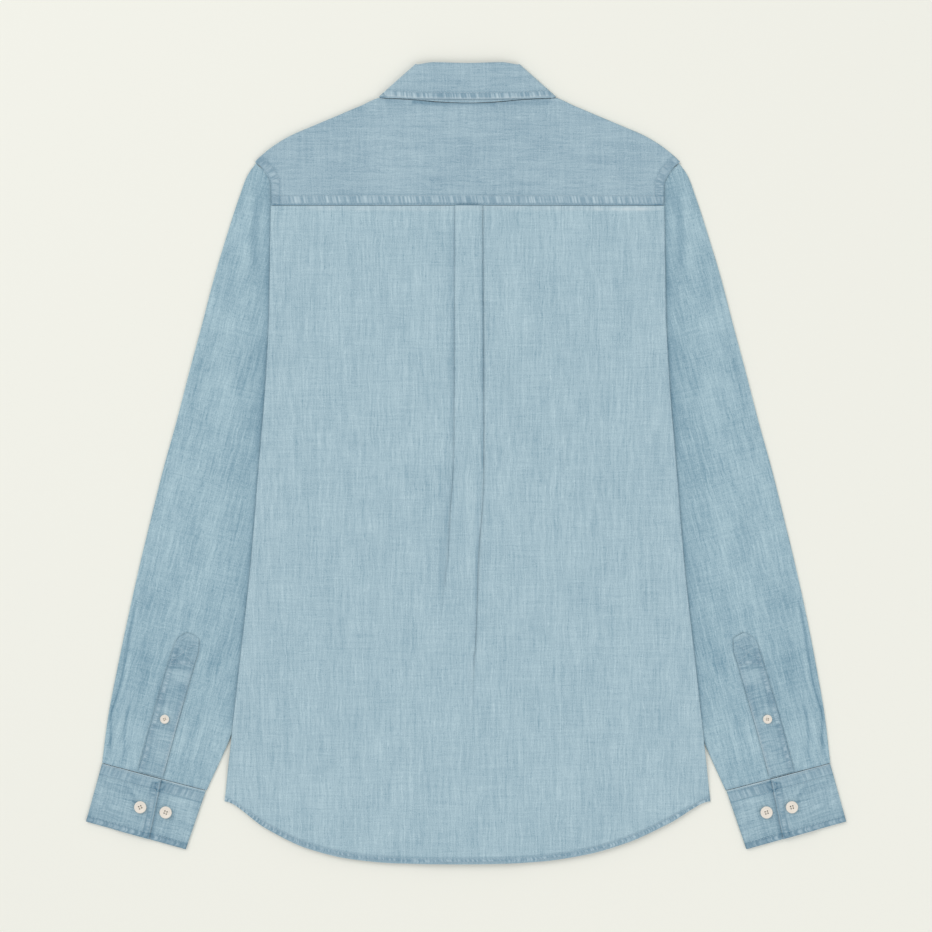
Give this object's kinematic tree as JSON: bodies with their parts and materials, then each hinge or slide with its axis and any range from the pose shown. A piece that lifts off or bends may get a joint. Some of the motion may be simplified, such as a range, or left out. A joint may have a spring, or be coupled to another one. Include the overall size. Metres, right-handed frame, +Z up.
{
  "type": "chambray shirt",
  "caption": "Long-sleeved button-up shirt laid flat on its front, with a yoke, back box pleat, turned-down collar, sleeve plackets and buttoned cuffs.",
  "frame": {"origin": "middle of the shirt's box, on the surface that it lies on", "axes": "+Z up from the surface, towards the shirt's back; +Y towards the collar; +X to the shirt's right sleeve"},
  "size_m": [0.7598, 0.8006, 0.0096],
  "materials": {
    "body": "light blue chambray, plain weave with slubs",
    "yoke": "light blue chambray, cut crosswise",
    "sleeve": "light blue chambray",
    "cuff": "light blue chambray, stiffened, worn at the edges",
    "button": "ivory, satin, sew-through"
  },
  "bodies": {
    "root": {"back": "body", "yoke": "yoke", "front_left": "body", "front_right": "body", "collar_leaf": "yoke", "collar_stand": "yoke", "sleeve_left": "sleeve", "sleeve_right": "sleeve", "cuff_left": "cuff", "cuff_right": "cuff", "placket_left": "cuff", "placket_right": "cuff", "cuff_button_left": "button", "cuff_button_right": "button", "cuff_spare_button_left": "button", "cuff_spare_button_right": "button", "placket_button_left": "button", "placket_button_right": "button", "front_button_1": "button", "front_button_2": "button", "front_button_3": "button", "front_button_4": "button", "front_button_5": "button", "front_button_6": "button", "front_button_7": "button", "neck_button": "button"}
  },
  "joints": []
}
